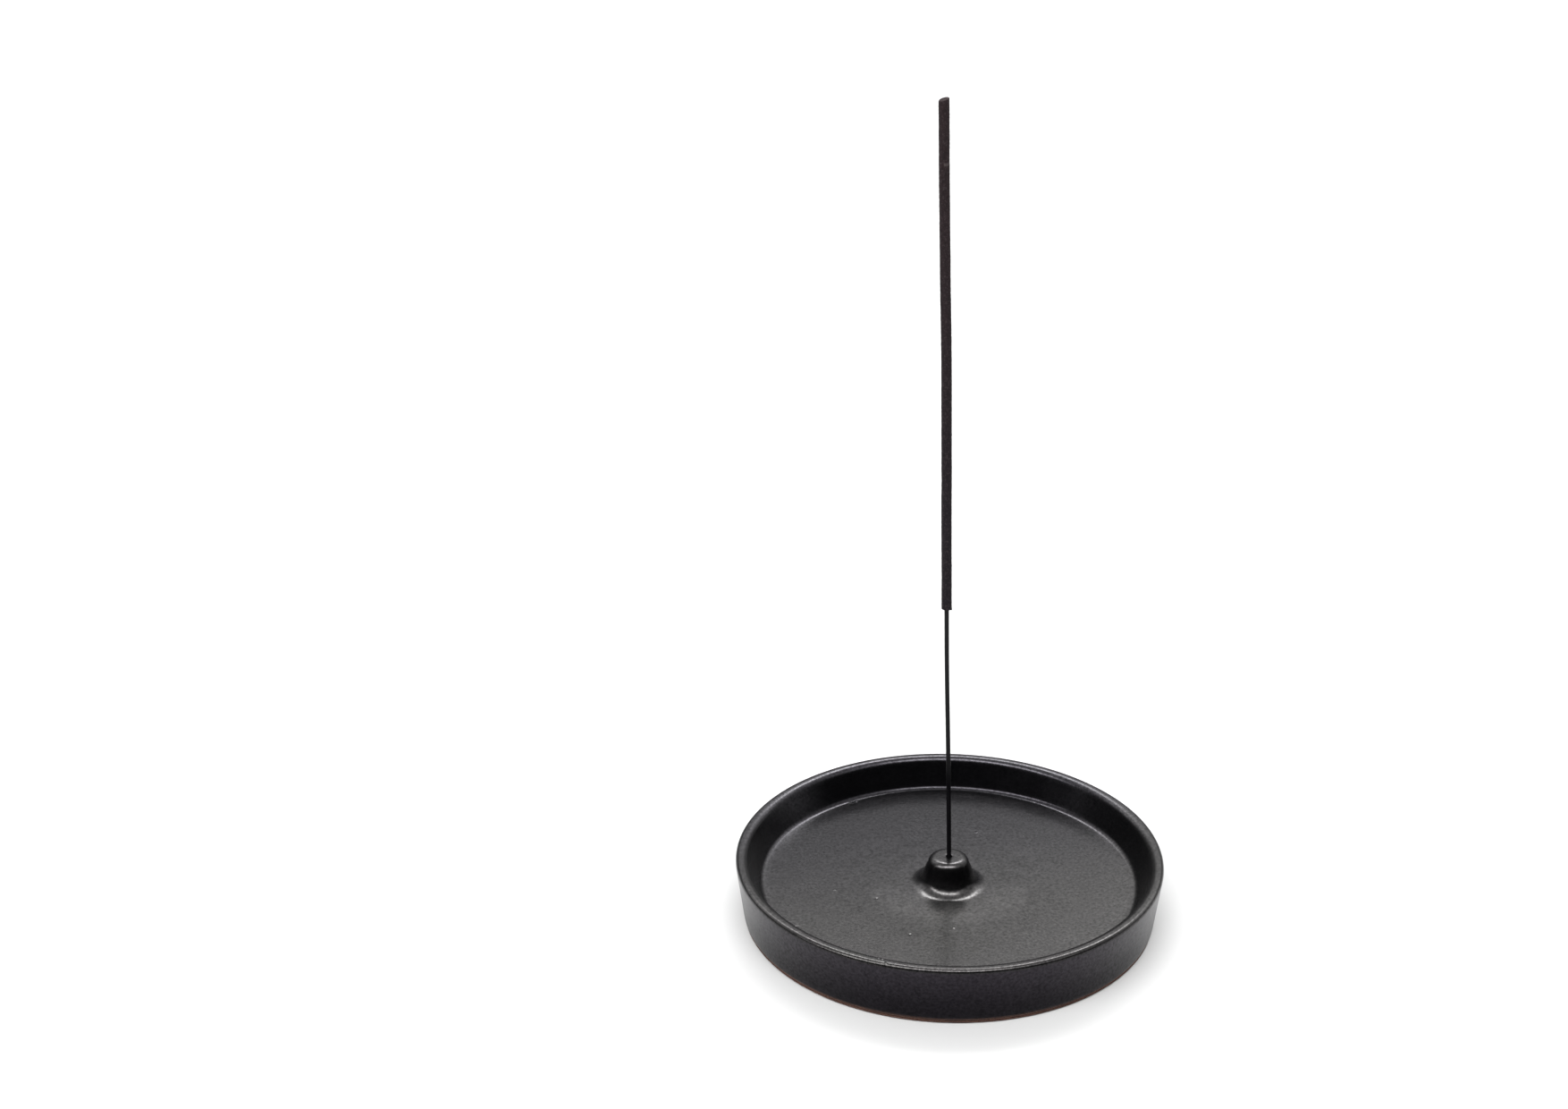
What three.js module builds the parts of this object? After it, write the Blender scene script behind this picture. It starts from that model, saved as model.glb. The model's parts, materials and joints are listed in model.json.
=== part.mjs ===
// Incense burner: a round glazed dish with a drilled boss in its middle, and the incense
// stick that stands in the boss. Millimetres, +Z up. The origin is the centre of the foot,
// on the surface that the dish stands on.
import * as THREE from 'three';

// Dish, finished size, glaze included
const DISH_RADIUS = 60;
const DISH_HEIGHT = 17.8;
const RIM_OUTER_ROUND = 1.1;
const RIM_FLAT = 0.65;              // width of the level top between the rim's two rounds
const RIM_INNER_ROUND = 2.05;
const INNER_WALL_SLOPE = 66;        // degrees above the horizontal
const FLOOR_RADIUS = 51.92;         // where the floor meets the round below the inner wall
const FLOOR_HEIGHT = 9.05;          // at that radius
const FLOOR_DIP = 0.9;              // the floor falls this much towards the boss
const FLOOR_ROUND = 1.7;

// Foot: the bare clay that the glaze stops short of, and the recess under the dish
const FOOT_RADIUS = 57.8;
const FOOT_HEIGHT = 1.3;
const FOOT_CHAMFER = 0.4;
const FOOT_RING_WIDTH = 6.5;
const RECESS_DEPTH = 2.5;
const RECESS_DRAFT = 0.9;           // the recess is this much narrower at its top

// Boss: a cone with a round shoulder and a wide round at its base
const BOSS_HEIGHT = 16.8;           // above the foot
const BOSS_TOP_RADIUS = 3.6;
const BOSS_SHOULDER_ROUND = 2.15;
const BOSS_TAPER = 19;              // degrees from the vertical
const BOSS_BASE_ROUND = 3.8;

// Socket: the blind hole that holds the stick, drilled along the stick's lean
const SOCKET_RADIUS = 0.85;
const SOCKET_BOTTOM = 4.2;          // above the foot

// The glaze is a thin shell round the clay, with a hair gap between the two solids
const GLAZE_THICKNESS = 0.45;
const BOND_GAP = 0.25;
const CLAY_INSET = GLAZE_THICKNESS + BOND_GAP;

// Stick: a bamboo core, coated with incense paste from a square shoulder to the tip
const STICK_LEAN = 1.35;            // degrees, towards -X
const STICK_OFFSET = 0.1;           // of its axis from the dish's axis, at the boss's top
const STICK_INSERTED = 12.3;
const STICK_BARE = 76.6;
const STICK_COATED = 138.5;
const CORE_RADIUS = 0.625;
const COATING_RADIUS = 1.38;
const CORE_END_COVER = 3;           // of paste over the core's upper end
const TIP_SLANT = 15;               // degrees, the tip's cut, lowest on the -X side
const TIP_SLANT_HEADING = 20;       // degrees, how far the low side is turned towards -Y

// Fineness of the round stretches
const DISH_SEGMENTS = 48;
const STICK_SEGMENTS = 12;
const DEGREES_PER_STEP = 23;

const rad = THREE.MathUtils.degToRad;
const RIGHT_ANGLE = 90;
const HALF_TURN = 180;
const OUTER_TAPER = Math.atan2(DISH_RADIUS - FOOT_RADIUS, DISH_HEIGHT - RIM_OUTER_ROUND);

// Points on an arc of a section, by angle from the outward direction, in degrees.
function arc(centre, radius, from, to) {
  const steps = Math.max(1, Math.ceil(Math.abs(to - from) / DEGREES_PER_STEP));
  const points = [];
  for (let i = 0; i <= steps; i += 1) {
    const angle = rad(from + ((to - from) * i) / steps);
    const x = centre.x + radius * Math.cos(angle);
    const y = centre.y + radius * Math.sin(angle);
    points.push(new THREE.Vector2(x, y));
  }
  return points;
}

// Radius of the outer wall's finished surface at a height.
function outerWallRadius(height) {
  return FOOT_RADIUS + height * Math.tan(OUTER_TAPER);
}

// Centres of the boss's two rounds; its cone touches both.
function bossRounds() {
  const taper = rad(BOSS_TAPER);
  const shoulder = new THREE.Vector2(BOSS_TOP_RADIUS, BOSS_HEIGHT - BOSS_SHOULDER_ROUND);
  const baseHeight = FLOOR_HEIGHT - FLOOR_DIP + BOSS_BASE_ROUND;
  const coneTopRadius = shoulder.x + BOSS_SHOULDER_ROUND * Math.cos(taper);
  const coneTopHeight = shoulder.y + BOSS_SHOULDER_ROUND * Math.sin(taper);
  const coneEndHeight = baseHeight - BOSS_BASE_ROUND * Math.sin(taper);
  const coneEndRadius = coneTopRadius + (coneTopHeight - coneEndHeight) * Math.tan(taper);
  const baseRadius = coneEndRadius + BOSS_BASE_ROUND * Math.cos(taper);
  return { shoulder, base: new THREE.Vector2(baseRadius, baseHeight) };
}

// Half section of the dish's surface, a given depth inside the finished one: from the
// socket's mouth over the boss, the floor, the rim and down the outer wall to a height.
function surface(depth, endHeight) {
  const boss = bossRounds();
  const floorRound = new THREE.Vector2(FLOOR_RADIUS, FLOOR_HEIGHT + FLOOR_ROUND);
  const rimRadius = DISH_RADIUS - RIM_OUTER_ROUND;
  const innerRim = new THREE.Vector2(rimRadius - RIM_FLAT, DISH_HEIGHT - RIM_INNER_ROUND);
  const outerRim = new THREE.Vector2(rimRadius, DISH_HEIGHT - RIM_OUTER_ROUND);
  const wallNormal = RIGHT_ANGLE + INNER_WALL_SLOPE;
  const tilt = THREE.MathUtils.radToDeg(OUTER_TAPER);
  const wallEnd = outerWallRadius(endHeight) - depth / Math.cos(OUTER_TAPER);
  return [
    new THREE.Vector2(SOCKET_RADIUS, BOSS_HEIGHT - depth),
    ...arc(boss.shoulder, BOSS_SHOULDER_ROUND - depth, RIGHT_ANGLE, BOSS_TAPER),
    ...arc(boss.base, BOSS_BASE_ROUND + depth, HALF_TURN + BOSS_TAPER, 1.5 * HALF_TURN),
    ...arc(floorRound, FLOOR_ROUND + depth, 1.5 * HALF_TURN, HALF_TURN + wallNormal),
    ...arc(innerRim, RIM_INNER_ROUND - depth, wallNormal, RIGHT_ANGLE),
    ...arc(outerRim, RIM_OUTER_ROUND - depth, RIGHT_ANGLE, 0),
    ...arc(outerRim, RIM_OUTER_ROUND - depth, 0, -tilt).slice(1),
    new THREE.Vector2(wallEnd, endHeight),
  ];
}

// Moves the socket's rings of points aside, so that the socket follows the stick's lean.
function leanSocket(geometry) {
  const position = geometry.attributes.position;
  const tolerance = 0.001;
  for (let i = 0; i < position.count; i += 1) {
    const x = position.getX(i);
    const isSocket = Math.abs(Math.hypot(x, position.getY(i)) - SOCKET_RADIUS) < tolerance;
    if (isSocket) {
      const below = BOSS_HEIGHT - position.getZ(i);
      position.setX(i, x + STICK_OFFSET + below * Math.tan(rad(STICK_LEAN)));
    }
  }
}

// A mesh of a section turned about the +Z axis.
function turned(name, section, segments, look) {
  const geometry = new THREE.LatheGeometry(section, segments);
  geometry.rotateX(Math.PI / 2);
  const mesh = new THREE.Mesh(geometry, new THREE.MeshStandardMaterial(look));
  mesh.name = name;
  return mesh;
}

// The fired clay: the whole dish under its glaze, with the bare foot and the socket.
function clayBody() {
  const recessRadius = FOOT_RADIUS - FOOT_RING_WIDTH;
  const section = [
    new THREE.Vector2(0, SOCKET_BOTTOM),
    new THREE.Vector2(SOCKET_RADIUS, SOCKET_BOTTOM),
    ...surface(CLAY_INSET, FOOT_HEIGHT),
    new THREE.Vector2(outerWallRadius(FOOT_HEIGHT), FOOT_HEIGHT),
    new THREE.Vector2(outerWallRadius(FOOT_CHAMFER), FOOT_CHAMFER),
    new THREE.Vector2(FOOT_RADIUS - FOOT_CHAMFER, 0),
    new THREE.Vector2(recessRadius, 0),
    new THREE.Vector2(recessRadius - RECESS_DRAFT, RECESS_DEPTH),
    new THREE.Vector2(0, RECESS_DEPTH),
  ];
  const mesh = turned('clay_body', section.reverse(), DISH_SEGMENTS,
    { color: 0x6b4034, roughness: 0.9, metalness: 0 });
  leanSocket(mesh.geometry);
  return mesh;
}

// The glaze: a shell over everything but the foot and the underside.
function glazeCoat() {
  const lowerEdge = FOOT_HEIGHT + BOND_GAP;
  const outside = surface(0, lowerEdge);
  const inside = surface(GLAZE_THICKNESS, lowerEdge).reverse();
  const section = [...outside, ...inside, outside[0].clone()];
  const mesh = turned('glaze_coat', section.reverse(), DISH_SEGMENTS,
    { color: 0x17171a, roughness: 0.32, metalness: 0 });
  leanSocket(mesh.geometry);
  return mesh;
}

// The bamboo core, from the socket up to just below the tip. Its origin is the boss's top.
function stickCore() {
  const lower = -STICK_INSERTED;
  const upper = STICK_BARE + STICK_COATED - CORE_END_COVER;
  const section = [
    new THREE.Vector2(0, lower),
    new THREE.Vector2(CORE_RADIUS, lower),
    new THREE.Vector2(CORE_RADIUS, upper),
    new THREE.Vector2(0, upper),
  ];
  return turned('stick_core', section, STICK_SEGMENTS,
    { color: 0x242326, roughness: 0.6, metalness: 0 });
}

// The incense paste: a sleeve closed over the core's upper end, cut on a slant.
function incenseCoating() {
  const boreRadius = CORE_RADIUS + BOND_GAP;
  const boreEnd = STICK_BARE + STICK_COATED - CORE_END_COVER + BOND_GAP;
  const drop = COATING_RADIUS * Math.tan(rad(TIP_SLANT));
  const tip = STICK_BARE + STICK_COATED - drop;
  const section = [
    new THREE.Vector2(0, boreEnd),
    new THREE.Vector2(boreRadius, boreEnd),
    new THREE.Vector2(boreRadius, STICK_BARE),
    new THREE.Vector2(COATING_RADIUS, STICK_BARE),
    new THREE.Vector2(COATING_RADIUS, tip),
    new THREE.Vector2(0, tip),
  ];
  const mesh = turned('incense_coating', section, STICK_SEGMENTS,
    { color: 0x2b2526, roughness: 0.95, metalness: 0 });
  slantTop(mesh.geometry, tip);
  return mesh;
}

// Tilts the flat top of an upright solid about its middle, by the tip's slant.
function slantTop(geometry, height) {
  const heading = rad(TIP_SLANT_HEADING);
  const position = geometry.attributes.position;
  const tolerance = 0.001;
  for (let i = 0; i < position.count; i += 1) {
    if (Math.abs(position.getZ(i) - height) < tolerance) {
      const uphill = position.getX(i) * Math.cos(heading) + position.getY(i) * Math.sin(heading);
      position.setZ(i, height + uphill * Math.tan(rad(TIP_SLANT)));
    }
  }
}

const dish = new THREE.Group();
dish.add(clayBody(), glazeCoat());

const stick = new THREE.Group();
stick.position.set(STICK_OFFSET, 0, BOSS_HEIGHT);
stick.rotation.y = rad(-STICK_LEAN);
stick.add(stickCore(), incenseCoating());

const incenseBurner = new THREE.Group();
incenseBurner.add(dish, stick);

export default incenseBurner;
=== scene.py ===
"""Looks of the incense burner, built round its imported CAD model.

Metres, +Z up, in the frame of the CAD model. The dish's foot is centred on the origin, on the
floor, and the camera looks along +Y. Four pieces stand for the four CAD nodes: the glaze, the
fired clay under it, the bamboo core of the stick and the incense paste on it.
"""

import json
import math

import bmesh
import bpy
from mathutils import Matrix, Vector, noise


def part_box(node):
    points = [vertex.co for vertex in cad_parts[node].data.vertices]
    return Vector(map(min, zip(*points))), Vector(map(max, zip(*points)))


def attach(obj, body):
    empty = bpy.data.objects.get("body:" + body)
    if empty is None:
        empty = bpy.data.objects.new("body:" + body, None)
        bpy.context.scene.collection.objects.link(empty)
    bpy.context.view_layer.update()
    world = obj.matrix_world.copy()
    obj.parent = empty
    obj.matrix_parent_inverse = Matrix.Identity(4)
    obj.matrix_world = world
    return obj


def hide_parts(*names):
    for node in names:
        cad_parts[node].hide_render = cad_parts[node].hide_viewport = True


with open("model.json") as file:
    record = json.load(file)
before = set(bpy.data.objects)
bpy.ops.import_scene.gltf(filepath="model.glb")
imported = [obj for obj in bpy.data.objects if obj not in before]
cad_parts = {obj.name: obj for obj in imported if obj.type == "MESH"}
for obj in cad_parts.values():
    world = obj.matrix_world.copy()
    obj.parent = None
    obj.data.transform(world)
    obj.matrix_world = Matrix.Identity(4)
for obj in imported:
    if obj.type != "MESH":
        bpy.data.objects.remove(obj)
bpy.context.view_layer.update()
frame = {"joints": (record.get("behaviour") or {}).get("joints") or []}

MM = 0.001
QUARTER = math.pi / 2
TINY = 0.0001 * MM                        # less than this counts as nothing

# Dish, finished size, glaze included
DISH_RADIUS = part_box("glaze_coat")[1].x
DISH_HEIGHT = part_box("glaze_coat")[1].z
RIM_OUTER_ROUND = 1.1 * MM
RIM_FLAT = 0.65 * MM
RIM_INNER_ROUND = 2.05 * MM
INNER_WALL_SLOPE = math.radians(66)       # above the horizontal
FLOOR_RADIUS = 51.92 * MM
FLOOR_HEIGHT = 9.05 * MM
FLOOR_DIP = 0.9 * MM                      # the floor falls this much towards the boss
FLOOR_ROUND = 1.7 * MM

# Foot and underside
FOOT_RADIUS = 57.8 * MM
FOOT_HEIGHT = 1.3 * MM
FOOT_RING_WIDTH = 6.5 * MM
STANDING_INSET = 0.6 * MM                 # of the standing face's edge from the foot's radius
RECESS_DEPTH = 2.5 * MM
RECESS_DRAFT = 0.9 * MM
LEDGE_INSET = 0.08 * MM                   # of the bare ledge under the glaze's lower edge
LEDGE_CHAMFER = 0.06 * MM
GROOVE_TOP = 1.0 * MM                     # the turned line round the foot
GROOVE_LIP_INSET = 0.10 * MM
GROOVE_SLOPE = 0.07 * MM                  # height of the groove's sloping upper side
GROOVE_BOTTOM = 0.72 * MM
GROOVE_DEPTH = 0.45 * MM
BEAD_ROUND = 0.22 * MM                    # the bead between the groove and the floor
BEAD_INSET = 0.32 * MM
BEAD_HEIGHT = 0.46 * MM
OUTER_TAPER = math.atan2(DISH_RADIUS - FOOT_RADIUS, DISH_HEIGHT - RIM_OUTER_ROUND)

# Boss and socket
BOSS_HEIGHT = 16.8 * MM
BOSS_TOP_RADIUS = 3.6 * MM
BOSS_SHOULDER_ROUND = 2.15 * MM
BOSS_TAPER = math.radians(19)
BOSS_BASE_ROUND = 3.8 * MM
SOCKET_RADIUS = 0.85 * MM
SOCKET_BOTTOM = 4.2 * MM
MOUTH_ROUND = 0.15 * MM
MOUTH_LINING = 1.2 * MM                   # how far the glaze runs down the socket

# Glaze
GLAZE_THICKNESS = 0.45 * MM
GLAZE_GAP = 0.03 * MM
GLAZE_EDGE_ROUND = 0.3 * MM

# Relief of the clay and the fired glaze. The glaze on the floor swells and dips, keeps the
# faint rings of the turning and a shallow hollow ring, and rises in a skirt round the boss.
# One thick run has set beside the boss. A rate is in radians per metre of radius.
SWELLS = ((0.012 * MM, 17 * MM, 0), (0.004 * MM, 6 * MM, 7))   # height, size, noise shift
TURNING_HEIGHT = 0.0016 * MM
TURNING_RATE = 1.25 / MM
HOLLOW_DEPTH = 0.010 * MM
HOLLOW_RADIUS = 27 * MM
HOLLOW_WIDTH = 3 * MM
SKIRT_HEIGHT = 0.12 * MM
SKIRT_RADIUS = 12 * MM
SKIRT_WIDTH = 8 * MM
RUN_HEIGHT = 0.10 * MM
RUN_RADIUS = 10.2 * MM
RUN_WIDTH = 1.6 * MM
RUN_AZIMUTH = 218                         # degrees
RUN_SPREAD = 0.30                         # radians
WALL_WOBBLE = 0.03 * MM
CLAY_ROUGHNESS = 0.03 * MM
RECESS_RING_HEIGHT = 0.02 * MM
RECESS_RING_RATE = 1.8 / MM

# Stick
STICK_AXIS = Vector(frame["joints"][0]["axis"]).normalized()
STICK_FOOT = Vector((0.1 * MM, 0, BOSS_HEIGHT))
STICK_INSERTED = 12.3 * MM
STICK_BARE = 76.6 * MM
STICK_COATED = 138.5 * MM
CORE_RADIUS = 0.625 * MM
COATING_RADIUS = 1.38 * MM
CORE_END_COVER = 3 * MM
CORE_CHAMFER = 0.08 * MM
PASTE_EDGE = 0.12 * MM                    # chamfer of the paste's shoulder and tip
BORE_GAP = 0.05 * MM                      # between the core's side and the paste
BORE_END_GAP = 0.02 * MM                  # and above the core's end
TIP_SLANT = math.radians(15)
TIP_SLANT_HEADING = math.radians(20)
TIP_REACH = 1.2 * MM                      # of the slanted cut's pull below the tip

# The stick's slight bends: height above the boss and how far its middle is to the right, in mm
STICK_BENDS = ((-13, 0), (22, 0.02), (63, -0.25), (98, -0.13), (120, 0.03), (146, 0.16),
               (170, 0), (193, -0.09), (215, -0.07))
SCUFF_HEIGHT = BOSS_HEIGHT + 198.5 * MM

FIBRE_RELIEF = 0.035                      # of the bamboo, shares of its radius
FLAT_RELIEF = 0.04

# The paste's grain: height and size of the lumps in mm, and a shift that keeps the noises apart.
# Its pits open where their own noise is above a level; their depth and size are in mm too.
PASTE_GRAINS = ((0.045, 0.35, 0), (0.030, 0.7, 9), (0.035, 3.5, 0))
PIT_DEPTH = 0.10
PIT_SIZE = 0.5
PIT_LEVEL = 0.32

# A burr that hangs from the paste's shoulder
BURR_AZIMUTH = -10                        # degrees
BURR_SPREAD = 0.5                         # radians
BURR_HEIGHT = 0.3 * MM
BURR_DROP = 0.35 * MM
BURR_FLARE = 0.10                         # share of the radius

# Small flaws of the glaze: radius, azimuth in degrees, width and height in mm
GLAZE_FLAWS = (
    (29.3, 70.0, 0.60, 0.20),
    (32.4, 187.5, 0.50, 0.15),
    (24.2, 270.0, 0.50, 0.12),
    (22.2, 202.7, 0.55, -0.14),
    (30.2, 246.3, 0.60, -0.12),
    (49.4, 208.8, 0.60, -0.12),
    (52.2, 120.0, 0.80, -0.30),
    (51.9, 118.4, 0.60, 0.22),
    (59.3, 250.2, 0.60, 0.12),
    (58.1, 248.0, 0.45, -0.14),
    (58.2, 249.1, 0.45, -0.14),
)
FLAW_REACH = 1.3 * MM                     # the mesh is refined this far round a flaw
FLAW_CUTS = 5

# Fineness of the meshes
DISH_SEGMENTS = 320
BAMBOO_SEGMENTS = 40
PASTE_SEGMENTS = 48

# Gloss of the glaze, and how it changes over the dish. Each change is a share of the gloss, and
# each is painted light: it brightens or darkens the reflections there as painted highlight or
# painted shade.
GLAZE_SPECULAR = 0.32
# painted shade on the outer wall's reflections, a little at the top and more towards the foot
WALL_TOP_PAINTED_SHADE = -0.08
WALL_FOOT_PAINTED_SHADE = -0.52
# painted highlight in the floor's reflections at the front, painted shade at the back
FLOOR_FRONT_PAINTED_HIGHLIGHT = 0.38
FLOOR_BACK_PAINTED_SHADE = -0.50
# painted highlight in the floor's reflections in front of the boss
BOSS_RING_PAINTED_HIGHLIGHT = 0.30
PAINTED_SHADE_CHANGE = -0.6                   # painted shade on the inner wall and the boss's sides

# Colours
GLAZE_BLACK = (0.0005, 0.0005, 0.0006)
GLAZE_THIN = (0.022, 0.012, 0.008)
# Painted tints of the glaze's reflections, for the colours of what they mirror
PAINTED_FRONT_REFLECTION_TINT = (1.0, 0.965, 0.95)
PAINTED_BACK_REFLECTION_TINT = (0.93, 0.89, 1.0)
PAINTED_WALL_REFLECTION_TINT = (0.92, 0.80, 1.0)
CLAY_DARK = (0.040, 0.020, 0.015)
CLAY_LIGHT = (0.095, 0.052, 0.040)
CLAY_STAIN = (0.028, 0.016, 0.013)
BAMBOO_DARK = (0.0015, 0.0014, 0.0018)
BAMBOO_LIGHT = (0.0040, 0.0038, 0.0045)
BAMBOO_PATCH = (0.002, 0.002, 0.002)
PASTE_LOWER = (0.0066, 0.0055, 0.0072)
PASTE_UPPER = (0.0135, 0.0080, 0.0088)
PASTE_DARK = (0.003, 0.0027, 0.003)
PASTE_LIGHT = (0.034, 0.026, 0.028)
PASTE_SCUFF = (0.055, 0.045, 0.045)

# The studio, by direction: a white tent with two long lamps over it, open and dark on the
# camera's side. The tent's radiance goes by the angle in the upright plane of the view, in
# degrees from the horizon behind the dish, over the top, to the horizon on the camera's side.
TENT_PROFILE = (
    (0, 0.3), (18, 0.3), (25, 0.45), (29, 1.1), (34, 2.3), (40, 3.0), (48, 3.0), (62, 2.5),
    (78, 1.4), (92, 1.2), (104, 2.0), (114, 2.5), (138, 2.0), (180, 2.0),
)
DARK_FROM = 139                           # degrees, where the tent ends on the camera's side
DARK_SIDE = 0.02                          # share of the radiance that is left beyond that
TENT_REACH = 0.72                         # sideways part of the direction where the tent ends
TENT_REACH_EDGE = 0.16
RIGHT_SIDE = 0.75                         # radiance low down beside the tent
LEFT_SIDE = 0.2
SIDE_BEHIND_CAMERA = 0.1                  # share of the sides that is left behind the camera
LEFT_DIMNESS = 0.4                        # of the tent low down behind the dish, on the left

# Each lamp: its angle and half width in degrees, its radiance, and its left end and right end
# as the sideways part of the direction
LAMPS = (
    (54, 7, 20.0, -0.22, 0.45),
    (120, 8, 20.0, -0.75, 0.38),
)
LAMP_EDGES = (0.4, 1.3)                   # where a lamp's edge begins and ends, in half widths

# The paper floor, and the camera
FLOOR_SIZE = 6.0
FLOOR_WHITE = 0.34
FLOOR_ROUGHNESS = 0.9
CAMERA_PLACE = (-0.04473, -0.59060, 0.36439)
CAMERA_PITCH = math.radians(23.329)
CAMERA_ROLL = math.radians(0.561)
CAMERA_YAW = math.radians(0.079)
CAMERA_LENS = 55.42                       # mm
CAMERA_SENSOR = 36                        # mm


# ---------------------------------------------------------------- sections

def arc(centre, radius, start, end, step=math.radians(6)):
    """Points on an arc of a section, by angle from the outward direction."""
    count = max(1, math.ceil(abs(end - start) / step))
    angles = [start + (end - start) * i / count for i in range(count + 1)]
    return [(centre[0] + radius * math.cos(a), centre[1] + radius * math.sin(a)) for a in angles]


def spread(points, spacing):
    """The same outline with its long straight stretches divided."""
    result = [points[0]]
    for start, end in zip(points, points[1:]):
        length = math.dist(start, end)
        if length < TINY:
            continue
        count = max(1, math.ceil(length / spacing))
        for i in range(1, count + 1):
            share = i / count
            result.append(tuple(a + (b - a) * share for a, b in zip(start, end)))
    return result


def outer_wall_radius(height):
    return FOOT_RADIUS + height * math.tan(OUTER_TAPER)


def boss_rounds():
    """Centres of the boss's two rounds; its cone touches both."""
    shoulder = (BOSS_TOP_RADIUS, BOSS_HEIGHT - BOSS_SHOULDER_ROUND)
    base_height = FLOOR_HEIGHT - FLOOR_DIP + BOSS_BASE_ROUND
    cone_top_radius = shoulder[0] + BOSS_SHOULDER_ROUND * math.cos(BOSS_TAPER)
    cone_top_height = shoulder[1] + BOSS_SHOULDER_ROUND * math.sin(BOSS_TAPER)
    cone_end_height = base_height - BOSS_BASE_ROUND * math.sin(BOSS_TAPER)
    cone_end_radius = cone_top_radius + (cone_top_height - cone_end_height) * math.tan(BOSS_TAPER)
    return shoulder, (cone_end_radius + BOSS_BASE_ROUND * math.cos(BOSS_TAPER), base_height)


def dish_surface(depth):
    """The dish's surface at a depth inside the finished one, from the boss's flat top over
    the floor and the rim to the top of the outer wall."""
    shoulder, base = boss_rounds()
    floor_round = (FLOOR_RADIUS, FLOOR_HEIGHT + FLOOR_ROUND)
    rim_radius = DISH_RADIUS - RIM_OUTER_ROUND
    inner_rim = (rim_radius - RIM_FLAT, DISH_HEIGHT - RIM_INNER_ROUND)
    outer_rim = (rim_radius, DISH_HEIGHT - RIM_OUTER_ROUND)
    down = 3 * QUARTER
    wall_normal = QUARTER + INNER_WALL_SLOPE
    return [
        *arc(shoulder, BOSS_SHOULDER_ROUND - depth, QUARTER, BOSS_TAPER),
        *arc(base, BOSS_BASE_ROUND + depth, 2 * QUARTER + BOSS_TAPER, down, math.radians(4)),
        *arc(floor_round, FLOOR_ROUND + depth, down, 2 * QUARTER + wall_normal),
        *arc(inner_rim, RIM_INNER_ROUND - depth, wall_normal, QUARTER),
        *arc(outer_rim, RIM_OUTER_ROUND - depth, QUARTER, -OUTER_TAPER),
    ]


def glaze_section():
    """The closed section of the glaze, and how many of its points are on its outer surface."""
    lip = (SOCKET_RADIUS + MOUTH_ROUND, BOSS_HEIGHT - MOUTH_ROUND)
    lining_end = BOSS_HEIGHT - MOUTH_LINING
    edge_height = FOOT_HEIGHT + GLAZE_EDGE_ROUND
    edge_radius = outer_wall_radius(edge_height) - GLAZE_EDGE_ROUND
    outside = [
        (SOCKET_RADIUS, lining_end),
        *arc(lip, MOUTH_ROUND, 2 * QUARTER, QUARTER, math.radians(30)),
        *dish_surface(0),
        *arc((edge_radius, edge_height), GLAZE_EDGE_ROUND, -OUTER_TAPER, -QUARTER,
             math.radians(20)),
    ]
    outside = spread(outside, 1.0 * MM)
    inside = [
        (SOCKET_RADIUS + GLAZE_THICKNESS, lining_end),
        (SOCKET_RADIUS + GLAZE_THICKNESS, BOSS_HEIGHT - GLAZE_THICKNESS),
        *dish_surface(GLAZE_THICKNESS),
        (outer_wall_radius(FOOT_HEIGHT) - GLAZE_THICKNESS, FOOT_HEIGHT),
    ]
    inside = spread(inside, 4.0 * MM)
    return outside + inside[::-1], len(outside)


# ---------------------------------------------------------------- shapes by place

def fade(value, start, end):
    """One before start, zero after end, and a smooth change between them."""
    share = min(1, max(0, (value - start) / (end - start)))
    return 1 - share * share * (3 - 2 * share)


def lump(distance, width):
    """A smooth lump's height by the distance from its middle."""
    return math.exp(-(distance / width) ** 2)


def azimuth_gap(azimuth, degrees):
    """The angle between an azimuth and one in degrees, in radians."""
    gap = azimuth - math.radians(degrees)
    return abs((gap + 2 * QUARTER) % (4 * QUARTER) - 2 * QUARTER)


def noise_around(azimuth, reach, height):
    """Noise on a circle round the +Z axis, without a seam."""
    return noise.noise(Vector((reach * math.cos(azimuth), reach * math.sin(azimuth), height)))


# ---------------------------------------------------------------- turned solids

def revolve(name, section, segments):
    """A closed solid made by turning a closed section about the +Z axis. A point on the axis
    becomes one vertex."""
    vertices = []
    rings = []
    for radius, height in section:
        if radius < TINY:
            rings.append([len(vertices)] * segments)
            vertices.append((0, 0, height))
            continue
        rings.append(list(range(len(vertices), len(vertices) + segments)))
        for i in range(segments):
            azimuth = 4 * QUARTER * i / segments
            vertices.append((radius * math.cos(azimuth), radius * math.sin(azimuth), height))
    pairs = list(zip(rings, rings[1:]))
    is_ring = section[0][0] > TINY
    if is_ring:
        pairs.append((rings[-1], rings[0]))
    faces = []
    for low, high in pairs:
        for i in range(segments):
            j = (i + 1) % segments
            corners = [low[i], high[i], high[j], low[j]]
            faces.append([c for k, c in enumerate(corners) if c != corners[k - 1]])
    mesh = bpy.data.meshes.new(name)
    mesh.from_pydata(vertices, [], faces)
    mesh.validate()
    mesh.update()
    mesh.shade_smooth()
    piece = bpy.data.objects.new(name, mesh)
    bpy.context.scene.collection.objects.link(piece)
    return piece


# ---------------------------------------------------------------- dish

def lean_socket(piece):
    """Moves the socket and its mouth so that they follow the stick's lean."""
    slope = STICK_AXIS.x / STICK_AXIS.z
    margin = 0.1 * MM
    for vertex in piece.data.vertices:
        radius = math.hypot(vertex.co.x, vertex.co.y)
        share = fade(radius, SOCKET_RADIUS + GLAZE_THICKNESS + margin, BOSS_TOP_RADIUS)
        aside = STICK_FOOT.x + (vertex.co.z - BOSS_HEIGHT) * slope
        if vertex.co.z > SOCKET_BOTTOM - margin:
            vertex.co.x += aside * share


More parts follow.
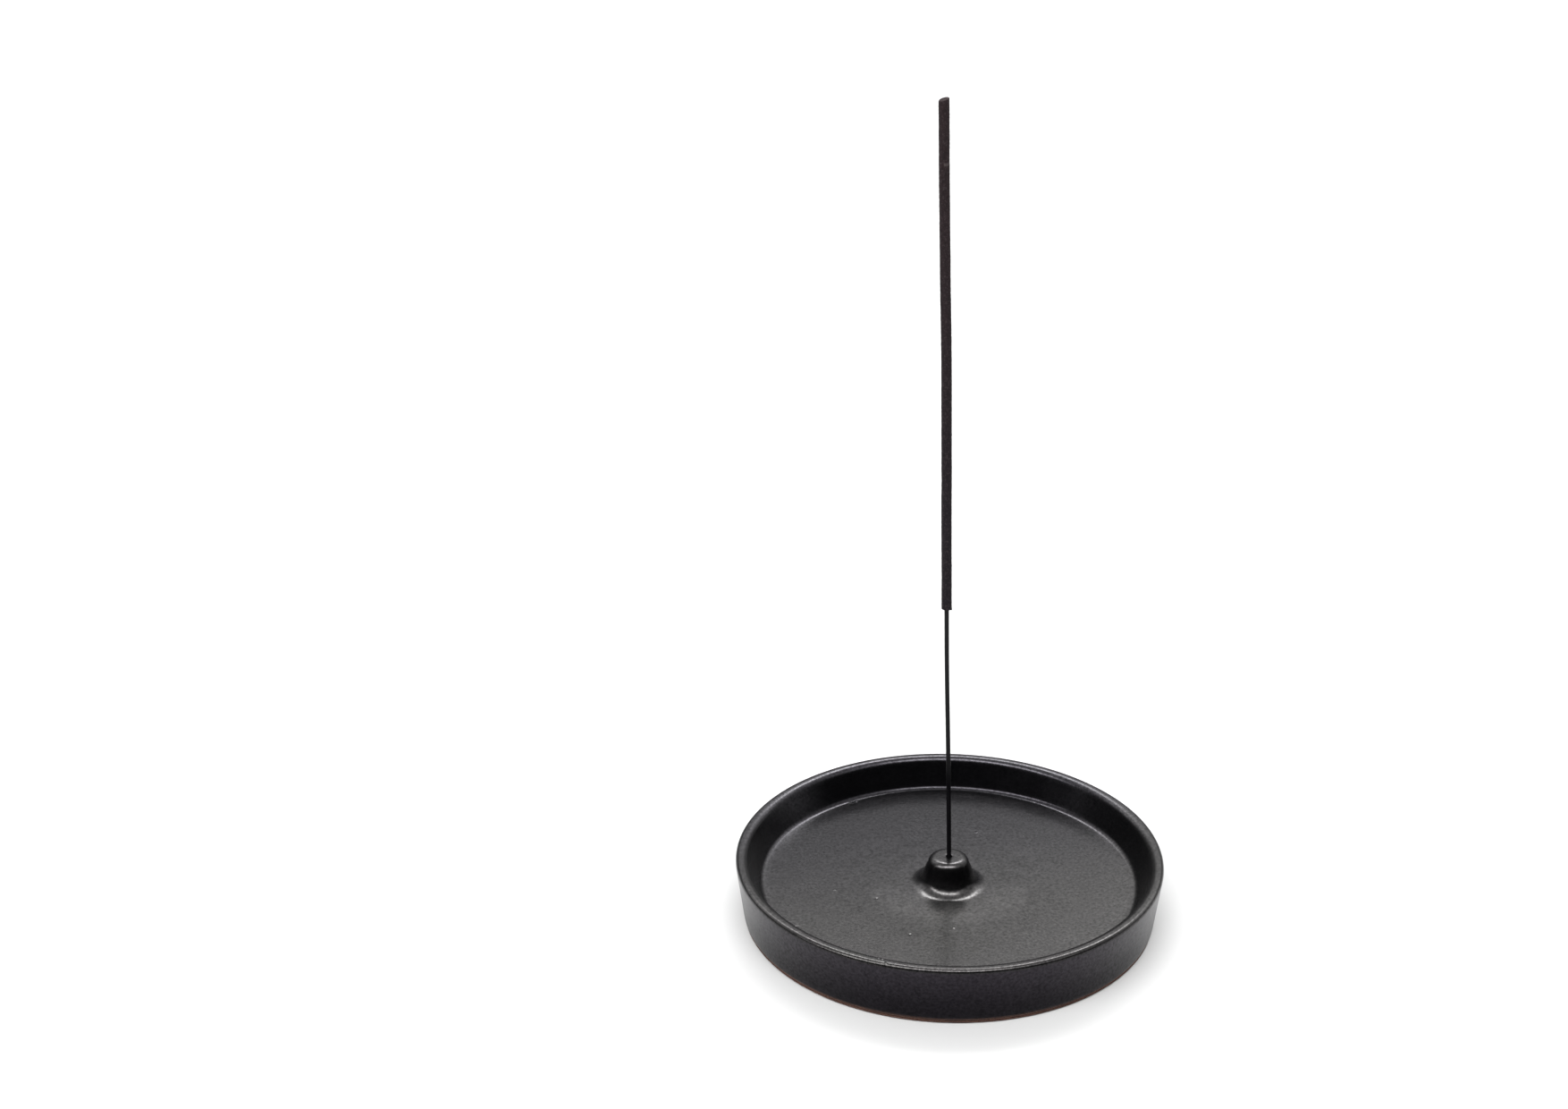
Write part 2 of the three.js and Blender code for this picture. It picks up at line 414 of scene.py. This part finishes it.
def glaze_height(radius, azimuth):
    """How far the fired glaze stands above the ideal surface of the dish."""
    relief = TURNING_HEIGHT * math.sin(radius * TURNING_RATE)
    relief -= HOLLOW_DEPTH * lump(radius - HOLLOW_RADIUS, HOLLOW_WIDTH)
    for height, size, shift in SWELLS:
        relief += height * noise_around(azimuth, radius / size, shift)
    on_floor = fade(radius, 49 * MM, 52 * MM) * (1 - fade(radius, 9 * MM, 12 * MM))
    skirt = SKIRT_HEIGHT * lump(radius - SKIRT_RADIUS, SKIRT_WIDTH)
    run = lump(radius - RUN_RADIUS, RUN_WIDTH) * lump(azimuth_gap(azimuth, RUN_AZIMUTH), RUN_SPREAD)
    return on_floor * relief + skirt + RUN_HEIGHT * run


def make_glaze():
    section, outer_count = glaze_section()
    piece = revolve("glaze", section, DISH_SEGMENTS)
    vertices = piece.data.vertices
    normals = [vertex.normal.copy() for vertex in vertices]
    for vertex in vertices[:outer_count * DISH_SEGMENTS]:
        radius = math.hypot(vertex.co.x, vertex.co.y)
        azimuth = math.atan2(vertex.co.y, vertex.co.x)
        on_wall = 1 - fade(radius, 50 * MM, 56 * MM)
        wobble = WALL_WOBBLE * noise_around(azimuth, 2, 0) * on_wall
        is_off_boss = radius > 6 * MM
        if is_off_boss:
            offset = glaze_height(radius, azimuth) + wobble
            vertex.co += normals[vertex.index] * offset
    lean_socket(piece)
    add_flaws(piece)
    piece.data.shade_smooth()
    return piece


def add_flaws(piece):
    """Refines the mesh round the small flaws of the glaze and raises or lowers it there."""
    flaws = []
    for radius, azimuth, width, height in GLAZE_FLAWS:
        angle = math.radians(azimuth)
        middle = Vector((math.cos(angle), math.sin(angle))) * radius * MM
        flaws.append((middle, width * MM, height * MM))
    solid = bmesh.new()
    solid.from_mesh(piece.data)
    near = [
        edge for edge in solid.edges
        if any(is_near(edge, middle) for middle, width, height in flaws)
    ]
    bmesh.ops.subdivide_edges(solid, edges=near, cuts=FLAW_CUTS, use_grid_fill=True)
    bordering = [face for face in solid.faces if len(face.verts) > 4]
    bmesh.ops.triangulate(solid, faces=bordering, ngon_method="BEAUTY")
    solid.normal_update()
    moves = []
    for vertex in filter(is_upper, solid.verts):
        rise = sum(
            height * lump((vertex.co.xy - middle).length, width / 2)
            for middle, width, height in flaws
        )
        moves.append((vertex, vertex.normal * rise))
    for vertex, move in moves:
        vertex.co += move
    solid.to_mesh(piece.data)
    solid.free()


def is_upper(vertex):
    """Whether a vertex is on the glaze's visible upper side."""
    return vertex.normal.z > 0.3 and vertex.co.z > 0.9 * (FLOOR_HEIGHT - FLOOR_DIP)


def is_near(edge, middle):
    """Whether an edge of the upper side is close to a point, seen from above."""
    return all(
        (vertex.co.xy - middle).length < FLAW_REACH and is_upper(vertex)
        for vertex in edge.verts
    )


def foot_outline(inset):
    """The bare foot from under the glaze's lower edge down to the surface it stands on: a
    ledge, a turned groove and a bead."""
    shelf = FOOT_HEIGHT - GLAZE_GAP
    ledge_radius = outer_wall_radius(FOOT_HEIGHT) - LEDGE_INSET
    bead = (FOOT_RADIUS - BEAD_INSET, BEAD_HEIGHT)
    return [
        (outer_wall_radius(FOOT_HEIGHT) - inset, shelf),
        (ledge_radius - LEDGE_CHAMFER, shelf),
        (ledge_radius, shelf - LEDGE_CHAMFER),
        (outer_wall_radius(GROOVE_TOP) - GROOVE_LIP_INSET, GROOVE_TOP),
        (FOOT_RADIUS - GROOVE_DEPTH, GROOVE_TOP - GROOVE_SLOPE),
        (FOOT_RADIUS - GROOVE_DEPTH, GROOVE_BOTTOM),
        *arc(bead, BEAD_ROUND, QUARTER, -QUARTER / 2, math.radians(30)),
        (FOOT_RADIUS - STANDING_INSET, 0),
    ]


def roughen_clay(piece):
    """Roughens the bare clay round the foot and leaves turning rings in the recess."""
    margin = 1 * MM
    for vertex in piece.data.vertices:
        radius = math.hypot(vertex.co.x, vertex.co.y)
        is_at_edge = 0 < vertex.co.z < 0.9 * FOOT_HEIGHT and radius > FOOT_RADIUS - margin
        if is_at_edge:
            rough = noise.noise(vertex.co / (1.2 * MM)) + noise.noise(vertex.co / (0.5 * MM))
            vertex.co.xy *= 1 + CLAY_ROUGHNESS * rough / radius
        is_recess = vertex.co.z <= RECESS_DEPTH and radius < FOOT_RADIUS - FOOT_RING_WIDTH - margin
        if is_recess:
            vertex.co.z += RECESS_RING_HEIGHT * math.sin(radius * RECESS_RING_RATE)


def make_clay():
    inset = GLAZE_THICKNESS + GLAZE_GAP
    recess_radius = FOOT_RADIUS - FOOT_RING_WIDTH
    lining_end = BOSS_HEIGHT - MOUTH_LINING - GLAZE_GAP
    section = [
        (0, SOCKET_BOTTOM),
        (SOCKET_RADIUS, SOCKET_BOTTOM),
        (SOCKET_RADIUS, lining_end),
        (SOCKET_RADIUS + inset, lining_end),
        (SOCKET_RADIUS + inset, BOSS_HEIGHT - inset),
        *dish_surface(inset),
        *foot_outline(inset),
        (recess_radius, 0),
        (recess_radius - RECESS_DRAFT, RECESS_DEPTH),
        (0, RECESS_DEPTH),
    ]
    piece = revolve("clay", spread(section, 2 * MM), DISH_SEGMENTS)
    roughen_clay(piece)
    lean_socket(piece)
    return piece


# ---------------------------------------------------------------- stick

def stick_matrix():
    """From upright coordinates, with the origin at the boss's top, to the stick's place."""
    turn = Vector((0, 0, 1)).rotation_difference(STICK_AXIS).to_matrix().to_4x4()
    return Matrix.Translation(STICK_FOOT) @ turn


def bend(height):
    """How far the stick's middle is to the right at a height above the boss."""
    level = height / MM
    for (low, low_offset), (high, high_offset) in zip(STICK_BENDS, STICK_BENDS[1:]):
        if level <= high:
            break
    share = 1 - fade(level, low, high)
    return (low_offset + (high_offset - low_offset) * share) * MM


def place_stick(piece):
    """Bends an upright piece of the stick and moves it to its place."""
    for vertex in piece.data.vertices:
        vertex.co.x += bend(vertex.co.z)
    piece.data.transform(stick_matrix())


def make_bamboo():
    top = STICK_BARE + STICK_COATED - CORE_END_COVER
    section = [
        (0, -STICK_INSERTED),
        (CORE_RADIUS - CORE_CHAMFER, -STICK_INSERTED),
        (CORE_RADIUS, -STICK_INSERTED + CORE_CHAMFER),
        (CORE_RADIUS, top),
        (0, top),
    ]
    piece = revolve("bamboo", spread(section, 1.0 * MM)[::-1], BAMBOO_SEGMENTS)
    for vertex in piece.data.vertices:
        azimuth = math.atan2(vertex.co.y, vertex.co.x)
        fibre = noise_around(azimuth, 3, vertex.co.z / (30 * MM))
        flat = noise_around(azimuth, 1, vertex.co.z / (60 * MM) + 5)
        vertex.co.xy *= 1 + FIBRE_RELIEF * fibre + FLAT_RELIEF * flat
    place_stick(piece)
    return piece


def paste_section(bore_radius, bore_end, tip):
    """The closed section of the paste, from the bore's end round to the tip."""
    inside = [(0, bore_end), (bore_radius, bore_end), (bore_radius, STICK_BARE)]
    outside = [
        (bore_radius, STICK_BARE),
        (COATING_RADIUS - PASTE_EDGE, STICK_BARE),
        (COATING_RADIUS, STICK_BARE + PASTE_EDGE),
        (COATING_RADIUS, tip - PASTE_EDGE),
        (COATING_RADIUS - PASTE_EDGE, tip),
        (0, tip),
    ]
    return spread(inside, 6 * MM)[:-1] + spread(outside, 0.2 * MM)


def paste_grain(point):
    """How far the crumbly paste stands out at a point."""
    grain = 0
    for height, size, shift in PASTE_GRAINS:
        grain += height * noise.noise(point / (size * MM) + Vector((0, 0, shift)))
    pit = noise.noise(point / (PIT_SIZE * MM) + Vector((4, 0, 0)))
    return (grain - PIT_DEPTH * max(0, pit - PIT_LEVEL)) * MM


def crumble(vertex, radius):
    """Moves a vertex of the paste by its grain: outwards on the side, up on the ends."""
    grain = paste_grain(vertex.co)
    is_side = radius > 0.9 * COATING_RADIUS
    if is_side:
        vertex.co.xy *= 1 + grain / radius
    else:
        vertex.co.z += grain


def hang_burr(vertex, radius):
    """Pulls a vertex at the edge of the paste's shoulder down and out."""
    azimuth = math.atan2(vertex.co.y, vertex.co.x)
    burr = lump(vertex.co.z - STICK_BARE, BURR_HEIGHT)
    burr *= lump(azimuth_gap(azimuth, BURR_AZIMUTH), BURR_SPREAD)
    is_edge = radius > 0.8 * COATING_RADIUS
    if is_edge:
        vertex.co.z -= BURR_DROP * burr
        vertex.co.xy *= 1 + BURR_FLARE * burr


def slant_rise(point, tip):
    """How far the slanted cut raises a point of the upright paste."""
    uphill = point.x * math.cos(TIP_SLANT_HEADING) + point.y * math.sin(TIP_SLANT_HEADING)
    share = 1 - fade(point.z, tip - TIP_REACH, tip)
    return share * uphill * math.tan(TIP_SLANT)


def make_paste():
    bore_radius = CORE_RADIUS + BORE_GAP
    bore_end = STICK_BARE + STICK_COATED - CORE_END_COVER + BORE_END_GAP
    tip = STICK_BARE + STICK_COATED - COATING_RADIUS * math.tan(TIP_SLANT)
    section = paste_section(bore_radius, bore_end, tip)
    piece = revolve("paste", section[::-1], PASTE_SEGMENTS)
    for vertex in piece.data.vertices:
        radius = math.hypot(vertex.co.x, vertex.co.y)
        is_outside = radius > 1.05 * bore_radius or vertex.co.z > bore_end + 1 * MM
        if is_outside:
            rise = slant_rise(vertex.co, tip)
            crumble(vertex, radius)
            hang_burr(vertex, radius)
            vertex.co.z += rise
    place_stick(piece)
    return piece


# ---------------------------------------------------------------- materials

class Wires:
    """Adds nodes to a node tree and joins them. A value is a socket or a number."""

    # The Mix node's sockets for colours
    FIRST_COLOUR = 6
    SECOND_COLOUR = 7
    MIXED_COLOUR = 2

    def __init__(self, tree):
        self.tree = tree

    def add(self, kind, *inputs, **settings):
        node = self.tree.nodes.new(kind)
        for name, value in settings.items():
            setattr(node, name, value)
        for socket, value in inputs:
            self.feed(node.inputs[socket], value)
        return node

    def feed(self, socket, value):
        if isinstance(value, bpy.types.NodeSocket):
            self.tree.links.new(value, socket)
        else:
            socket.default_value = value

    def math(self, operation, *values):
        node = self.add("ShaderNodeMath", *enumerate(values), operation=operation)
        return node.outputs[0]

    def product(self, first, *others):
        for other in others:
            first = self.math("MULTIPLY", first, other)
        return first

    def between(self, share, low, high):
        """low where the share is 0, high where it is 1."""
        return self.math("MULTIPLY_ADD", share, self.math("SUBTRACT", high, low), low)

    def changed(self, share, change):
        """One, and one plus a change where the share is 1."""
        return self.math("MULTIPLY_ADD", share, change, 1.0)

    def smooth(self, value, start, end, low=0.0, high=1.0):
        """low before start, high after end, and a smooth change between them."""
        node = self.add(
            "ShaderNodeMapRange", ("Value", value), ("From Min", start), ("From Max", end),
            ("To Min", low), ("To Max", high), interpolation_type="SMOOTHSTEP",
        )
        return node.outputs[0]

    def grain(self, place, size, detail=2.0):
        """Noise about 0.5, with lumps of a size in metres."""
        node = self.add(
            "ShaderNodeTexNoise", ("Vector", place), ("Scale", 1 / size), ("Detail", detail),
        )
        return node.outputs[0]

    def stretch(self, place, scale):
        node = self.add("ShaderNodeVectorMath", (0, place), (1, scale), operation="MULTIPLY")
        return node.outputs[0]

    def blend(self, share, first, second):
        """A mix of two colours, of which the first can be a socket."""
        if isinstance(first, tuple):
            first = (*first, 1)
        node = self.add(
            "ShaderNodeMix", ("Factor", share), (self.FIRST_COLOUR, first),
            (self.SECOND_COLOUR, (*second, 1)), data_type="RGBA",
        )
        return node.outputs[self.MIXED_COLOUR]

    def bump(self, height, depth, under=None):
        """Raises the surface by a height from 0 to 1 times a depth in metres."""
        node = self.add("ShaderNodeBump", ("Height", height), ("Distance", depth))
        if under:
            self.feed(node.inputs["Normal"], under)
        return node.outputs[0]


def new_material(name, specular):
    material = bpy.data.materials.new(name)
    material.use_nodes = True
    shader = material.node_tree.nodes["Principled BSDF"]
    shader.inputs["IOR"].default_value = 1.5
    shader.inputs["Specular IOR Level"].default_value = specular
    wires = Wires(material.node_tree)
    place = wires.add("ShaderNodeTexCoord").outputs["Object"]
    return material, shader.inputs, wires, place


def axes_of(wires, vector):
    return wires.add("ShaderNodeSeparateXYZ", (0, vector)).outputs


def radius_of(wires, axes):
    """The distance from the +Z axis."""
    across = wires.math("MULTIPLY", axes["X"], axes["X"])
    along = wires.math("MULTIPLY", axes["Y"], axes["Y"])
    return wires.math("SQRT", wires.math("ADD", across, along))


def outer_wall_share(wires, axes, radius):
    """One on the outer wall, nothing elsewhere."""
    out = wires.smooth(radius, FOOT_RADIUS - 0.9 * MM, FOOT_RADIUS - 0.5 * MM)
    below = wires.smooth(axes["Z"], DISH_HEIGHT - 1.6 * MM, DISH_HEIGHT - 0.6 * MM, 1.0, 0.0)
    return wires.product(out, below)


def painted_shade_share(wires, axes, radius):
    """One where the reflections get painted shade: on the boss's sides and on the inner wall,
    except at its far left.
    """
    wall = wires.product(
        wires.smooth(radius, 52 * MM, 54 * MM),
        wires.smooth(radius, 56 * MM, 57 * MM, 1.0, 0.0),
        wires.smooth(axes["X"], -48 * MM, -30 * MM),
    )
    boss = wires.product(
        wires.smooth(radius, 6.5 * MM, 7.5 * MM, 1.0, 0.0),
        wires.smooth(axes["Z"], 14.4 * MM, 15.6 * MM, 1.0, 0.0),
    )
    return wires.math("MAXIMUM", wall, boss)


def painted_floor_light(wires, axes, radius, back):
    """Painted light in the floor's reflections: a painted highlight at the front and in front of
    the boss, painted shade at the back.
    """
    painted_gradient = wires.smooth(back, -48 * MM, 46 * MM, FLOOR_FRONT_PAINTED_HIGHLIGHT, FLOOR_BACK_PAINTED_SHADE)
    painted_ring_highlight = wires.smooth(radius, 20 * MM, 25 * MM, BOSS_RING_PAINTED_HIGHLIGHT, 0.0)
    front = wires.smooth(axes["Y"], -10 * MM, 2 * MM, 1.0, 0.0)
    return wires.math("ADD", painted_gradient, wires.product(painted_ring_highlight, front))


def gloss_and_painted_light(wires, place, axes, radius, back, outside):
    """The glaze's gloss, with a satin grain all over, and painted shade and painted highlights in
    its reflections by place.
    """
    painted_wall_shade = wires.smooth(axes["Z"], 3 * MM, 17 * MM, WALL_FOOT_PAINTED_SHADE, WALL_TOP_PAINTED_SHADE)
    on_floor = wires.smooth(radius, 50 * MM, 53 * MM, 1.0, 0.0)
    return wires.product(
        wires.changed(outside, painted_wall_shade),
        wires.changed(on_floor, painted_floor_light(wires, axes, radius, back)),
        wires.changed(painted_shade_share(wires, axes, radius), PAINTED_SHADE_CHANGE),
        wires.grain(place, 0.8 * MM, 3.0),
        2.0,
        GLAZE_SPECULAR,
    )


def painted_reflection_tint(wires, back, outside):
    """A painted tint of the reflections, for the colours of what they mirror: warm at the front,
    cool at the back and outside.
    """
    cool = wires.smooth(back, -20 * MM, 35 * MM)
    return wires.blend(outside, wires.blend(cool, PAINTED_FRONT_REFLECTION_TINT, PAINTED_BACK_REFLECTION_TINT), PAINTED_WALL_REFLECTION_TINT)


def glaze_colour(wires, axes, fine):
    """Black, and a thin brown along the glaze's lower edge."""
    edge = wires.math("MULTIPLY_ADD", fine, 0.6 * MM, FOOT_HEIGHT)
    thin = wires.smooth(wires.math("SUBTRACT", axes["Z"], edge), 0.0, 0.4 * MM, 1.0, 0.0)
    return wires.blend(thin, GLAZE_BLACK, GLAZE_THIN)


def glaze_material():
    """A black satin glaze, brownish where it thins out above the foot."""
    material, inputs, wires, place = new_material("black_glaze", GLAZE_SPECULAR)
    axes = axes_of(wires, place)
    fine = wires.grain(place, 0.45 * MM, 3.0)
    radius = radius_of(wires, axes)
    back = wires.math("MULTIPLY_ADD", axes["X"], -0.2, axes["Y"])
    outside = outer_wall_share(wires, axes, radius)
    wires.feed(inputs["Base Color"], glaze_colour(wires, axes, fine))
    wires.feed(inputs["Roughness"], wires.between(wires.grain(place, 7 * MM), 0.215, 0.295))
    # The specular level carries painted shade and painted highlights of the reflections, over the
    # glaze's gloss and satin grain
    specular_level = gloss_and_painted_light(wires, place, axes, radius, back, outside)
    wires.feed(inputs["Specular IOR Level"], specular_level)
    # painted reflection colours, warm at the front and cool at the back and outside
    wires.feed(inputs["Specular Tint"], painted_reflection_tint(wires, back, outside))
    peel = wires.bump(wires.grain(place, 2.5 * MM, 1.0), 0.02 * MM)
    wires.feed(inputs["Normal"], wires.bump(fine, 0.012 * MM, peel))
    return material


def clay_material():
    """Dark reddish-brown stoneware, grainy and unglazed."""
    material, inputs, wires, place = new_material("bare_clay", 0.2)
    fine = wires.grain(place, 0.3 * MM, 3.0)
    colour = wires.blend(wires.smooth(fine, 0.3, 0.7), CLAY_DARK, CLAY_LIGHT)
    stain = wires.smooth(wires.grain(place, 5 * MM), 0.45, 0.75, 0.0, 0.6)
    wires.feed(inputs["Base Color"], wires.blend(stain, colour, CLAY_STAIN))
    wires.feed(inputs["Roughness"], wires.between(fine, 0.75, 0.95))
    wires.feed(inputs["Normal"], wires.bump(fine, 0.12 * MM))
    return material


def bamboo_material():
    """Bamboo dyed black, with fibres along its length. Its reflection is weaker near the boss."""
    material, inputs, wires, place = new_material("dyed_bamboo", 0.4)
    fibre = wires.grain(wires.stretch(place, (1.0, 1.0, 0.02)), 0.12 * MM, 3.0)
    colour = wires.blend(wires.smooth(fibre, 0.35, 0.7), BAMBOO_DARK, BAMBOO_LIGHT)
    patch = wires.smooth(wires.grain(place, 6 * MM), 0.5, 0.8, 0.0, 0.5)
    wires.feed(inputs["Base Color"], wires.blend(patch, colour, BAMBOO_PATCH))
    height = axes_of(wires, place)["Z"]
    specular_level = wires.smooth(height, BOSS_HEIGHT + 24 * MM, BOSS_HEIGHT + 34 * MM, 0.02, 0.17)
    wires.feed(inputs["Specular IOR Level"], specular_level)
    wires.feed(inputs["Roughness"], wires.between(fibre, 0.42, 0.67))
    wires.feed(inputs["Normal"], wires.bump(fibre, 0.03 * MM))
    return material


def paste_scuff(wires, height, lumps):
    """One pale scuff across the paste."""
    away = wires.math("ABSOLUTE", wires.math("SUBTRACT", height, SCUFF_HEIGHT))
    band = wires.smooth(away, 0.2 * MM, 0.6 * MM, 1.0, 0.0)
    return wires.product(band, wires.smooth(lumps, 0.42, 0.5), 0.6)


def paste_material():
    """Dark, crumbly incense paste, warmer towards the tip."""
    material, inputs, wires, place = new_material("incense_paste", 0.12)
    height = axes_of(wires, place)["Z"]
    fine = wires.grain(place, 0.40 * MM, 3.0)
    lumps = wires.grain(place, 1.1 * MM)
    low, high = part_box("incense_coating")
    colour = wires.blend(wires.smooth(height, low.z, high.z), PASTE_LOWER, PASTE_UPPER)
    colour = wires.blend(wires.smooth(lumps, 0.35, 0.75, 0.0, 0.45), colour, PASTE_DARK)
    colour = wires.blend(wires.smooth(fine, 0.48, 0.72, 0.0, 0.7), colour, PASTE_LIGHT)
    colour = wires.blend(paste_scuff(wires, height, lumps), colour, PASTE_SCUFF)
    wires.feed(inputs["Base Color"], colour)
    wires.feed(inputs["Roughness"], wires.between(fine, 0.78, 0.98))
    wires.feed(inputs["Normal"], wires.bump(fine, 0.08 * MM))
    return material


# ---------------------------------------------------------------- stage

def make_floor():
    mesh = bpy.data.meshes.new("floor")
    size = FLOOR_SIZE
    corners = [(-size, -size, 0), (size, -size, 0), (size, size, 0), (-size, size, 0)]
    mesh.from_pydata(corners, [], [(0, 1, 2, 3)])
    floor = bpy.data.objects.new("floor", mesh)
    bpy.context.scene.collection.objects.link(floor)
    paper, inputs = new_material("floor_paper", 0.2)[:2]
    inputs["Base Color"].default_value = (FLOOR_WHITE, FLOOR_WHITE, FLOOR_WHITE, 1)
    inputs["Roughness"].default_value = FLOOR_ROUGHNESS
    mesh.materials.append(paper)


def tent_middle(wires, angle):
    """The tent's radiance by the angle in the upright plane of the view."""
    ramp = wires.add("ShaderNodeValToRGB", (0, wires.math("DIVIDE", angle, math.pi)))
    stops = ramp.color_ramp.elements
    while len(stops) < len(TENT_PROFILE):
        stops.new(0.5)
    for stop, (degrees, radiance) in zip(stops, TENT_PROFILE):
        stop.position = degrees / 180
        stop.color = (radiance, radiance, radiance, 1)
    return ramp.outputs["Color"]


def tent_side(wires, axes):
    """The radiance beside the tent: one high up, and lower down by the side."""
    high = wires.smooth(axes["Z"], 0.05, 0.5)
    low_side = wires.smooth(axes["X"], -0.1, 0.1, LEFT_SIDE, RIGHT_SIDE)
    fall = wires.smooth(axes["Y"], -0.5, 0.0, SIDE_BEHIND_CAMERA, 1.0)
    return wires.product(wires.between(high, low_side, 1.0), fall)


def left_patch(wires, axes):
    """One low down behind the dish on the left, where the tent is dimmer."""
    behind = wires.smooth(axes["Y"], 0.5, 0.8)
    left = wires.smooth(axes["X"], -0.05, 0.15, 1.0, 0.0)
    low = wires.smooth(axes["Z"], 0.45, 0.6, 1.0, 0.0)
    return wires.product(behind, left, low)


def lamp_radiance(wires, axes, degrees, lamp):
    """A long lamp over the tent, with soft edges and ends."""
    centre, half_width, radiance, left_end, right_end = lamp
    edge_start, edge_end = (share * half_width for share in LAMP_EDGES)
    off = wires.math("ABSOLUTE", wires.math("SUBTRACT", degrees, centre))
    return wires.product(
        wires.smooth(off, edge_start, edge_end, radiance, 0.0),
        wires.smooth(axes["X"], left_end - 0.3, left_end + 0.15),
        wires.smooth(axes["X"], right_end - 0.15, right_end + 0.15, 1.0, 0.0),
    )


def studio_radiance(wires):
    """The studio's radiance by direction."""
    axes = axes_of(wires, wires.add("ShaderNodeTexCoord").outputs["Generated"])
    angle = wires.math("ARCTAN2", axes["Z"], axes["Y"])
    degrees = wires.math("MULTIPLY", angle, 180 / math.pi)
    aside = wires.math("ABSOLUTE", axes["X"])
    beside = wires.smooth(aside, TENT_REACH, TENT_REACH + TENT_REACH_EDGE)
    tent = wires.between(beside, tent_middle(wires, angle), tent_side(wires, axes))
    total = wires.product(tent, wires.changed(left_patch(wires, axes), -LEFT_DIMNESS))
    for lamp in LAMPS:
        total = wires.math("ADD", total, lamp_radiance(wires, axes, degrees, lamp))
    return wires.product(total, wires.smooth(degrees, DARK_FROM - 1, DARK_FROM + 1, 1.0, DARK_SIDE))


def make_world():
    world = bpy.data.worlds.new("studio")
    bpy.context.scene.world = world
    world.use_nodes = True
    tree = world.node_tree
    tree.nodes.clear()
    wires = Wires(tree)
    white = ("Color", (1, 1, 1, 1))
    studio = wires.add("ShaderNodeBackground", white, ("Strength", studio_radiance(wires)))
    backdrop = wires.add("ShaderNodeBackground", white, ("Strength", 1.0))
    seen = wires.add("ShaderNodeLightPath").outputs["Is Camera Ray"]
    mix = wires.add(
        "ShaderNodeMixShader", (0, seen), (1, studio.outputs[0]), (2, backdrop.outputs[0]),
    )
    wires.add("ShaderNodeOutputWorld", ("Surface", mix.outputs[0]))


def make_camera():
    data = bpy.data.cameras.new("camera")
    data.sensor_width = CAMERA_SENSOR
    data.lens = CAMERA_LENS
    camera = bpy.data.objects.new("camera", data)
    bpy.context.scene.collection.objects.link(camera)
    camera.location = CAMERA_PLACE
    heading = Matrix.Rotation(CAMERA_YAW, 4, "Z")
    tilt = Matrix.Rotation(QUARTER - CAMERA_PITCH, 4, "X")
    roll = Matrix.Rotation(-CAMERA_ROLL, 4, "Z")
    camera.rotation_euler = (heading @ tilt @ roll).to_euler()
    bpy.context.scene.camera = camera


make_camera()
make_world()
make_floor()

for make, make_material, body, node, slot in (
    (make_glaze, glaze_material, "dish", "glaze_coat", "black_glaze"),
    (make_clay, clay_material, "dish", "clay_body", "bare_clay"),
    (make_bamboo, bamboo_material, "stick", "stick_core", "dyed_bamboo"),
    (make_paste, paste_material, "stick", "incense_coating", "incense_paste"),
):
    piece = make()
    piece.data.materials.append(make_material())
    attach(piece, body)
    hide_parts(node)

bpy.context.scene.view_settings.view_transform = "Standard"
